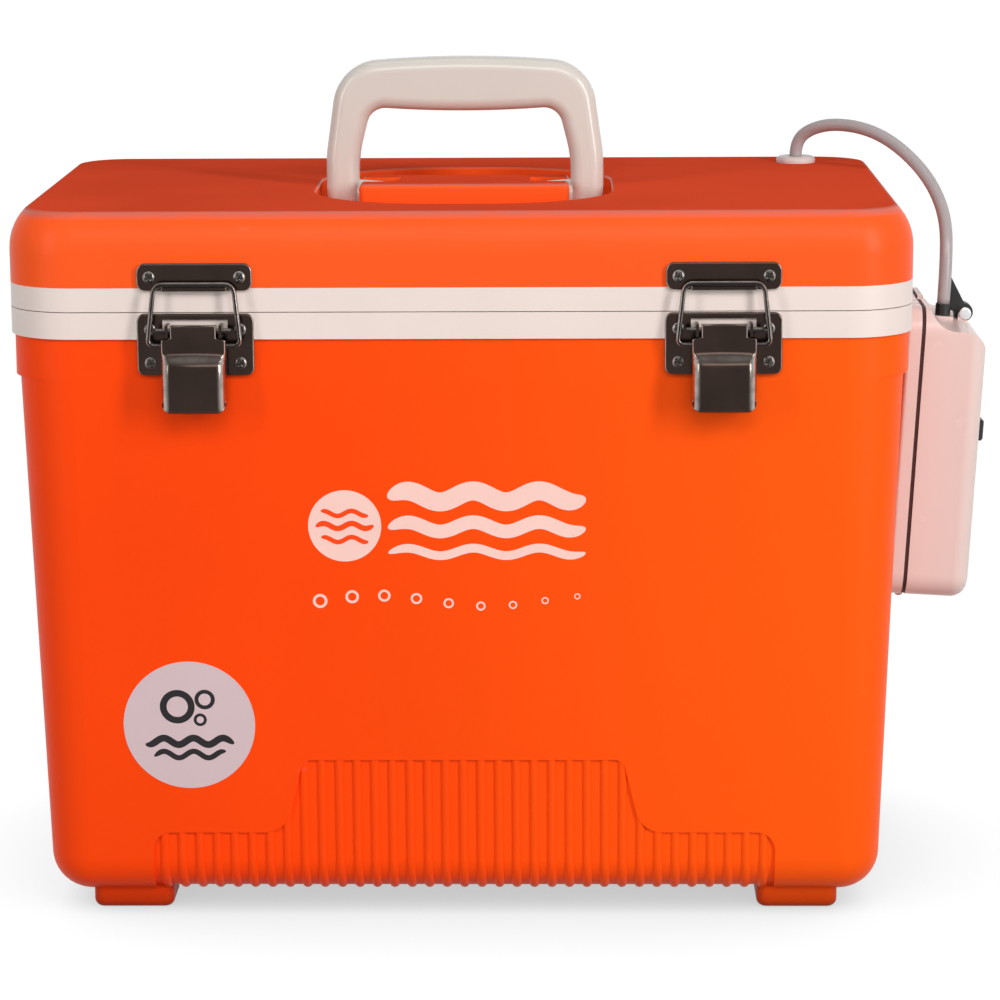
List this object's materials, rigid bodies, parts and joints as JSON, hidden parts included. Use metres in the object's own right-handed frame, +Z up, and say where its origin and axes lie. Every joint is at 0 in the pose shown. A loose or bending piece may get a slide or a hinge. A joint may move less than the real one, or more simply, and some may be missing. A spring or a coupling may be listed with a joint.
{
  "type": "aerated bait bucket",
  "caption": "Insulated hard-sided live-bait bucket with a hinged lid, folding carry handle, draw latches and a battery air pump that feeds a hose into the well.",
  "frame": {"origin": "the middle of the underside of the whole object without its hoses, on the plane that the feet stand on", "axes": "+X towards the air pump, -Y towards the latches at the front, +Z up"},
  "size_m": [0.4632, 0.2786, 0.3996],
  "materials": {
    "orange_shell": "moulded orange polyethylene with a fine satin grain",
    "lid_orange": "moulded orange polyethylene, satin",
    "cream_liner": "cream polypropylene, satin",
    "cream_handle": "cream polypropylene, satin",
    "pump_case": "pale greyish pink ABS, satin",
    "pump_inside": "grey moulded plastic",
    "black_plastic": "black moulded plastic",
    "black_nickel": "polished black nickel",
    "chrome": "bright chrome",
    "steel": "plain stainless steel",
    "brass_parts": "plain brass",
    "foam": "pale yellow rigid foam",
    "seal_rubber": "soft black rubber",
    "grommet_white": "white soft plastic",
    "vinyl_hose": "translucent greyish pink vinyl",
    "stone": "porous grey blue air stone",
    "cell_jacket": "printed battery jacket"
  },
  "bodies": {
    "tub": {"air_chamber": "pump_inside", "air_stone": "stone", "batteries": "cell_jacket", "battery_contacts": "brass_parts", "battery_springs": "brass_parts", "bracket_screws": "steel", "case_gasket": "seal_rubber", "case_hinge_pin": "steel", "crank_link": "black_plastic", "diaphragm": "seal_rubber", "hinge_leaf_tub_left": "steel", "hinge_leaf_tub_right": "steel", "hinge_pin_left": "steel", "hinge_pin_right": "steel", "hinge_screws_tub": "steel", "hose_inner": "vinyl_hose", "hose_nozzle": "black_plastic", "hose_outer": "vinyl_hose", "latch_base_left": "black_nickel", "latch_base_right": "black_nickel", "latch_base_screws": "black_nickel", "latch_pin_left": "black_nickel", "latch_pin_right": "black_nickel", "motor": "steel", "pump_back_shell": "pump_case", "pump_bracket": "orange_shell", "pump_chassis": "pump_inside", "tub_foam": "foam", "tub_liner": "cream_liner", "tub_shell": "orange_shell"},
    "lid": {"handle_axle": "steel", "hinge_leaf_lid_left": "steel", "hinge_leaf_lid_right": "steel", "hinge_screws_lid": "steel", "hose_grommet": "grommet_white", "keeper_screws": "black_nickel", "latch_keeper_left": "black_nickel", "latch_keeper_right": "black_nickel", "lid_foam": "foam", "lid_gasket": "seal_rubber", "lid_liner": "cream_liner", "lid_shell": "lid_orange"},
    "carry_handle": {"handle": "cream_handle"},
    "latch_lever_left": {"latch_lever_left": "black_nickel"},
    "latch_lever_right": {"latch_lever_right": "black_nickel"},
    "latch_bail_left": {"latch_bail_left": "black_nickel"},
    "latch_bail_right": {"latch_bail_right": "black_nickel"},
    "pump_case_cover": {"pump_cover": "pump_case", "catch_bar": "chrome"},
    "pump_catch": {"catch_lever": "black_plastic"},
    "pump_switch": {"power_switch": "black_plastic"},
    "pump_rotor": {"motor_crank": "black_plastic"}
  },
  "joints": [
    {"name": "lid_hinge", "type": "hinge", "parent": "tub", "child": "lid", "pos_m": [-0.0209, 0.13585, 0.2918], "axis": [-1, 0, 0], "range_deg": [0, 100], "deforming": ["hose_outer", "hose_inner"]},
    {"name": "handle_fold", "type": "hinge", "parent": "lid", "child": "carry_handle", "pos_m": [-0.0209, -0.00515, 0.332], "axis": [1, 0, 0], "range_deg": [-90, 90]},
    {"name": "latch_lever_left_swing", "type": "hinge", "parent": "tub", "child": "latch_lever_left", "pos_m": [-0.1419, -0.13075, 0.2843], "axis": [-1, 0, 0], "range_deg": [0, 130]},
    {"name": "latch_bail_left_swing", "type": "hinge", "parent": "latch_lever_left", "child": "latch_bail_left", "pos_m": [-0.1419, -0.12995, 0.2774], "axis": [-1, 0, 0], "range_deg": [-149.5, 0]},
    {"name": "latch_lever_right_swing", "type": "hinge", "parent": "tub", "child": "latch_lever_right", "pos_m": [0.1001, -0.13075, 0.2843], "axis": [-1, 0, 0], "range_deg": [0, 130]},
    {"name": "latch_bail_right_swing", "type": "hinge", "parent": "latch_lever_right", "child": "latch_bail_right", "pos_m": [0.1001, -0.12995, 0.2774], "axis": [-1, 0, 0], "range_deg": [-149.5, 0]},
    {"name": "pump_cover_hinge", "type": "hinge", "parent": "tub", "child": "pump_case_cover", "pos_m": [0.19226, 0.00485, 0.1361], "axis": [0, 1, 0], "range_deg": [0, 80]},
    {"name": "pump_catch_swing", "type": "hinge", "parent": "pump_case_cover", "child": "pump_catch", "pos_m": [0.22412, 0.01325, 0.2718], "axis": [0, 1, 0], "range_deg": [0, 75]},
    {"name": "power_switch_slide", "type": "slide", "parent": "pump_case_cover", "child": "pump_switch", "axis": [0.0576, 0, 0.9983], "range_m": [-0.0025, 0.0025]},
    {"name": "motor_spin", "type": "hinge", "parent": "tub", "child": "pump_rotor", "pos_m": [0.20706, -0.01715, 0.23642], "axis": [0.0576, 0, 0.9983], "continuous": true}
  ],
  "couplings": [
    {"joint": "latch_bail_left_swing", "follows": "latch_lever_left_swing", "ratio": -1.15},
    {"joint": "latch_bail_right_swing", "follows": "latch_lever_right_swing", "ratio": -1.15}
  ]
}
